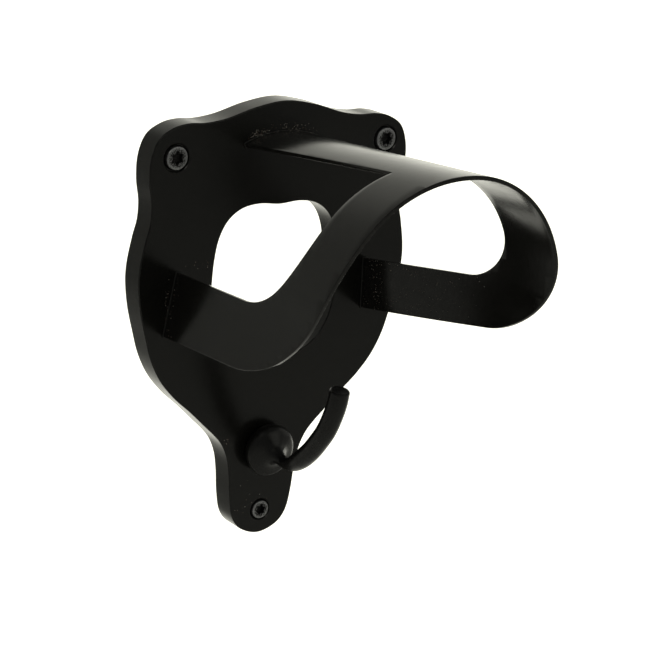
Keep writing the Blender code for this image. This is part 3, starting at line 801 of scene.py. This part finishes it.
# screws: one tree puts a thread on a turned body and sets it at each place
screwLook = dict(
    upper=dict(rim=2.2, chamfer=0.55, core=1.75, drive=5.4, driveDepth=2.4, point=6.0, pitch=2.2, smoothShank=5.0),
    lower=dict(rim=2.2, chamfer=0.48, core=1.4, drive=4.5, driveDepth=2.4, point=6.0, pitch=1.8, smoothShank=5.0),
    tab=dict(rim=1.0, chamfer=0.3, core=1.65, drive=3.0, driveDepth=0.8, point=0.4, pitch=0.7, smoothShank=0.4),
    hook=dict(rim=0.3, chamfer=0.1, core=1.65, drive=3.0, driveDepth=1.3, point=0.4, pitch=0.7, smoothShank=6.0),
    sides=96,
)


def screwBody(name, look, head, shank, length, flat):
    # turned body along Z, head up, top of the head at zero; six-lobe drive
    sides, mean, wave = screwLook["sides"], look["drive"] * 0.43, look["drive"] * 0.07
    deep, core = look["driveDepth"], look["core"]
    cone = 0 if flat else head - shank
    neck = look["rim"] + cone + (look["chamfer"] if flat else 0)
    plain = neck + look["smoothShank"]
    # (radius, depth below the top, share of the lobes, painted shade: 1 inside the drive, fading to 0 across the head)
    rows = [(0.0, deep + 0.5, 0, 1), (mean * 0.55, deep + 0.25, 0.6, 1), (mean, deep, 1, 1),
            (mean, deep * 0.5, 1, 1), (mean, 0.16, 1, 0.9), (mean + 0.16, 0.0, 1, 0.6), (mean + wave + 0.45, 0.0, 0, 0.35),
            (head - look["chamfer"], 0.0, 0, 0)]
    rows += [(head - look["chamfer"] * (1 - math.sin(a)), look["chamfer"] * (1 - math.cos(a)), 0, 0)
             for a in (math.pi / 8 * k for k in (1, 2, 3, 4))]
    rows += [(head, neck - cone if not flat else neck, 0, 0)]
    rows += [(shank if flat else shank + 0.001, neck, 0, 0), (shank, plain - 0.3, 0, 0), (core, plain, 0, 0)]
    rows += [(core, length - look["point"], 0, 0), (core * 0.55, length - look["point"] * 0.45, 0, 0),
             (0.35 if look["point"] > 1 else core - 0.3, length - 0.05, 0, 0), (0.0, length, 0, 0)]
    bm = bmesh.new()
    across, sunk = bm.verts.layers.float.new("across"), bm.verts.layers.float.new("sunk")
    loops = []
    for radius, depth, lobes, inside in rows:
        if radius <= 0:
            loop = [bm.verts.new((0, 0, -depth))]
        else:
            loop = ring(bm, [((radius + wave * lobes * math.cos(6 * t)) * math.cos(t),
                              (radius + wave * lobes * math.cos(6 * t)) * math.sin(t), -depth)
                             for t in (2 * math.pi * i / sides for i in range(sides))])
        for v in loop:
            v[across], v[sunk] = radius, inside
        loops.append(loop)
    for a, b in zip(loops, loops[1:]):
        if len(a) == 1 or len(b) == 1:
            tip, loop = (a[0], b) if len(a) == 1 else (b[0], a)
            for i in range(sides):
                bm.faces.new((tip, loop[i], loop[(i + 1) % sides]))
        else:
            bridge(bm, a, b)
    return makeObject(name, bm), plain, length - look["point"]


def makeScrewTree():
    tree, graph, given = newTree("threadedScrews", [
        ("Body", "Object", None), ("Core radius", "Float", 1.7), ("Thread height", "Float", 0.7),
        ("Pitch", "Float", 2.0), ("Thread from", "Float", 10.0), ("Thread to", "Float", 30.0),
        ("Turned to", "Vector", (0, 0, 0)), ("Seed", "Int", 3), ("Steel", "Material", None)])
    body = graph.add("GeometryNodeObjectInfo", {"transform_space": "ORIGINAL"},
                     {"Object": given.other("Body")}, "Geometry")
    run = given.other("Thread to") - given.other("Thread from")
    spiral = graph.add("GeometryNodeCurveSpiral", {}, {
        "Resolution": 20, "Rotations": run / given.other("Pitch"), "Start Radius": given.other("Core radius"),
        "End Radius": given.other("Core radius"), "Height": run})
    ridge = graph.add("GeometryNodeCurvePrimitiveCircle", {}, {"Resolution": 3, 4: given.other("Thread height")})
    thread = graph.add("GeometryNodeCurveToMesh", {}, {"Curve": spiral, "Profile Curve": ridge, "Fill Caps": True})
    drop = graph.add("ShaderNodeCombineXYZ", {}, {"Z": 0 - given.other("Thread to")})
    thread = graph.add("GeometryNodeTransform", {}, {"Geometry": thread, "Translation": drop})
    joined = graph.add("GeometryNodeJoinGeometry", {}, {})
    for part in (thread, body):
        tree.links.new(part.socket, joined.socket.node.inputs[0])
    spin = graph.add("FunctionNodeRandomValue", {"data_type": "FLOAT"},
                     {"Max_001": math.pi / 3, "Seed": given.other("Seed")}, "Value_001")
    own = graph.add("FunctionNodeAxisAngleToRotation", {}, {"Axis": (0, 0, 1), "Angle": spin})
    turned = graph.add("FunctionNodeEulerToRotation", {}, {"Euler": given.other("Turned to")})
    both = graph.add("FunctionNodeRotateRotation", {"rotation_space": "LOCAL"}, {"Rotation": turned, "Rotate By": own})
    points = graph.add("GeometryNodeMeshToPoints", {}, {"Mesh": given.other("Geometry")})
    placed = graph.add("GeometryNodeInstanceOnPoints", {}, {"Points": points, "Instance": joined, "Rotation": both})
    real = graph.add("GeometryNodeRealizeInstances", {}, {"Geometry": placed})
    coated = graph.add("GeometryNodeSetMaterial", {}, {"Geometry": real, "Material": given.other("Steel")})
    graph.add("NodeGroupOutput", {}, {"Geometry": coated})
    return tree


screwTree = makeScrewTree()


def makeScrews(name, key, nodes, shank, rear, seed):
    look = screwLook[key]
    low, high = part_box(nodes[0])
    head, length = (high.x - low.x) / 2 / mm, (high.y - low.y) / mm
    body, threadFrom, threadTo = screwBody(name + "Body", look, head, shank, length, key == "tab")
    bm = bmesh.new()
    for node in nodes:
        x, z = centreOf(node)
        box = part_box(node)
        bm.verts.new((x, (box[1].y if rear else box[0].y) / mm, z))
    places = makeObject(name, bm)
    height = shank - look["core"]
    made = grow(places, screwTree, {
        "Body": body, "Core radius": look["core"] + height / 3, "Thread height": height * 0.66,
        "Pitch": look["pitch"], "Thread from": threadFrom - 0.2, "Thread to": threadTo,
        "Turned to": Vector((-math.pi / 2 if rear else math.pi / 2, 0, 0)), "Seed": seed, "Steel": screwSteel})
    bpy.data.objects.remove(body)
    return finishPiece(made, screwSteel, 32)


upperScrews = makeScrews("upperWallScrews", "upper",
                         ["wall_screw_upper_left", "wall_screw_upper_right"], 2.5, False, 5)
lowerScrew = makeScrews("lowerWallScrew", "lower", ["wall_screw_lower"], 2.0, False, 8)
tabScrews = makeScrews("tabScrews", "tab", ["tab_screw_top", "tab_screw_left", "tab_screw_right"], 2.0, True, 2)
hookScrew = makeScrews("hookFixingScrew", "hook", ["hook_screw"], 2.0, True, 4)
print("screws set")


# beads of coat where the cradle meets the plate
beadLook = dict(radius=0.42, unevenness=0.35, step=0.5, seed=11)


def makeBeadTree():
    tree, graph, given = newTree("rootBead", [("Radius", "Float", 0.4), ("Unevenness", "Float", 0.3),
                                              ("Seed", "Float", 1.0), ("Coat", "Material", None)])
    place = graph.add("GeometryNodeInputPosition")
    lumps = graph.add("ShaderNodeTexNoise", {"noise_dimensions": "4D"},
                      {"Vector": place, "W": given.other("Seed"), "Scale": 0.7, "Detail": 2.0})
    radius = given.other("Radius") * (1 + (lumps - 0.5) * 2 * given.other("Unevenness"))
    circle = graph.add("GeometryNodeCurvePrimitiveCircle", {}, {"Resolution": 10, 4: 1.0})
    swept = graph.add("GeometryNodeCurveToMesh", {}, {"Curve": given.other("Geometry"), "Profile Curve": circle,
                                                      "Scale": radius, "Fill Caps": True})
    real = graph.add("GeometryNodeRealizeInstances", {}, {"Geometry": swept})
    coated = graph.add("GeometryNodeSetMaterial", {}, {"Geometry": real, "Material": given.other("Coat")})
    graph.add("NodeGroupOutput", {}, {"Geometry": coated})
    return tree


def makeBeads():
    look, runs = beadLook, []
    reach = 0.22
    for name in ("top", "left", "right"):
        first, last = tabPlan(name)
        ends = sorted((abs(first), abs(last)))
        shoulder = cradleLook["shoulder"]
        if name == "top":
            low, high = first - shoulder, last + shoulder
        else:
            sign = -1 if name == "left" else 1
            low, high = sorted((sign * (ends[0] - shoulder), sign * (ends[1] + shoulder)))
        count = round((high - low) / look["step"])
        girths = [low + (high - low) * k / count for k in range(count + 1)]
        loop = [cradlePoint(g, reach, -0.12) for g in girths]
        loop += [cradlePoint(g, reach, cradleLook["sheet"] + 0.12) for g in reversed(girths)]
        runs.append(([(p, 1.0) for p in loop], True))
    bead = grow(polyCurve("rootBeads", runs), makeBeadTree(), {
        "Radius": look["radius"], "Unevenness": look["unevenness"], "Seed": float(look["seed"]), "Coat": beadCoat})
    return finishPiece(bead, beadCoat, 60)


beadCoat = powderCoat("beadCoat", dict(coatLook, roughness=0.5, drifts=rootDrifts))
beads = makeBeads()
print("beads laid")

for piece, slot, nodes in (
        (plate, "black_powder_coat", ["back_plate"]), (cradle, "black_powder_coat", ["cradle"]),
        (beads, "black_powder_coat", []), (hook, "black_hook_coat", ["hook"]),
        (upperScrews, "screw_steel", ["wall_screw_upper_left", "wall_screw_upper_right"]),
        (lowerScrew, "screw_steel", ["wall_screw_lower"]),
        (tabScrews, "screw_steel", ["tab_screw_top", "tab_screw_left", "tab_screw_right"]),
        (hookScrew, "screw_steel", ["hook_screw"])):
    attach(piece, "root")
    if nodes:
        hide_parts(*nodes)


# studio
studio = dict(
    floor=-0.42, wall=1.35, sweep=0.40, half=3.5, front=-3.0, height=2.8,
    shade=(0.70, 0.70, 0.69),
    glow=1.12, dim=0.055,                  # painted light: the paper glows, full at the back right, dim elsewhere
    tint=(1, 0.995, 0.88, 1),
    fadeAcross=(-0.26, 0.24), fadeBack=(-0.05, 0.52), fadeUp=(1.05, 0.06), upperShare=0.15,
    spread=(0.5, 0.6),                     # the lit part widens with the distance back
    room=(0.10, 0.10, 0.096),
)
lamps = [                                  # name, place, aimed at, width, height, power
    ("rightPanel", (1.4, -0.3, 0.5), (0, -0.05, 0.05), 0.7, 0.9, 0.5),
    ("frontPanel", (0.75, -1.4, 0.70), (0, -0.05, 0.05), 1.1, 1.1, 1.15),
    ("upperPanel", (-0.75, -1.0, 1.15), (0, -0.05, 0.05), 0.5, 0.5, 1.1),
]


def makeStudio():
    look = studio
    steps = 16
    profile = [(look["front"], look["floor"]), (look["wall"] - look["sweep"], look["floor"])]
    profile += [(look["wall"] - look["sweep"] * (1 - math.sin(a)), look["floor"] + look["sweep"] * (1 - math.cos(a)))
                for a in (math.pi / 2 * k / steps for k in range(1, steps + 1))]
    profile += [(look["wall"], look["height"])]
    bm = bmesh.new()
    left, right = ([bm.verts.new((x, y, z)) for y, z in profile] for x in (-look["half"], look["half"]))
    for i in range(len(profile) - 1):
        bm.faces.new((left[i], right[i], right[i + 1], left[i + 1]))
    sweep = makeObject("paperSweep", bm)
    sweep.data.shade_smooth()
    material = bpy.data.materials.new("palePaper")
    material.use_nodes = True
    tree = material.node_tree
    tree.nodes.clear()
    graph = Graph(tree)
    place = graph.add("ShaderNodeTexCoord", output="Object")
    fibre = graph.add("ShaderNodeTexNoise", {}, {"Vector": place, "Scale": 600.0, "Detail": 3.0})
    shade = graph.mixColour(fibre, (*look["shade"], 1), (*[c * 0.97 for c in look["shade"]], 1))
    bump = graph.add("ShaderNodeBump", {}, {"Height": fibre * 0.0001, "Strength": 0.4, "Distance": 1.0})
    where = graph.add("ShaderNodeSeparateXYZ", {}, {"Vector": place})
    near, widening = look["spread"]
    # painted light: a glowing patch on the paper, brightest at the back right, fading forward, leftward and upward,
    # with a dim glow elsewhere
    lit = graph.band(where / (near + where.other("Y") * widening), *look["fadeAcross"])
    lit = lit * graph.band(where.other("Y"), *look["fadeBack"])
    lit = lit * (look["upperShare"] + (1 - look["upperShare"]) * graph.band(where.other("Z"), *look["fadeUp"]))
    glow = graph.mixColour(look["dim"] + (1 - look["dim"]) * lit, (0, 0, 0, 1), look["tint"])
    paper = graph.add("ShaderNodeBsdfPrincipled", {}, {"Base Color": shade, "Roughness": 0.9, "Normal": bump,
                                                       "Emission Color": glow, "Emission Strength": look["glow"]})
    graph.add("ShaderNodeOutputMaterial", {}, {"Surface": paper})
    sweep.data.materials.append(material)
    world = bpy.data.worlds.new("room")
    world.use_nodes = True
    world.node_tree.nodes["Background"].inputs["Color"].default_value = (*look["room"], 1)
    scene.world = world
    for name, place, target, width, height, power in lamps:
        data = bpy.data.lights.new(name, "AREA")
        data.shape, data.size, data.size_y, data.energy = "RECTANGLE", width, height, power
        data.color = look["tint"][:3]
        lamp = bpy.data.objects.new(name, data)
        scene.collection.objects.link(lamp)
        lamp.location = place
        lamp.rotation_euler = (Vector(target) - Vector(place)).to_track_quat("-Z", "Y").to_euler()
    scene.view_settings.view_transform = "Standard"


makeStudio()
print("studio lit")
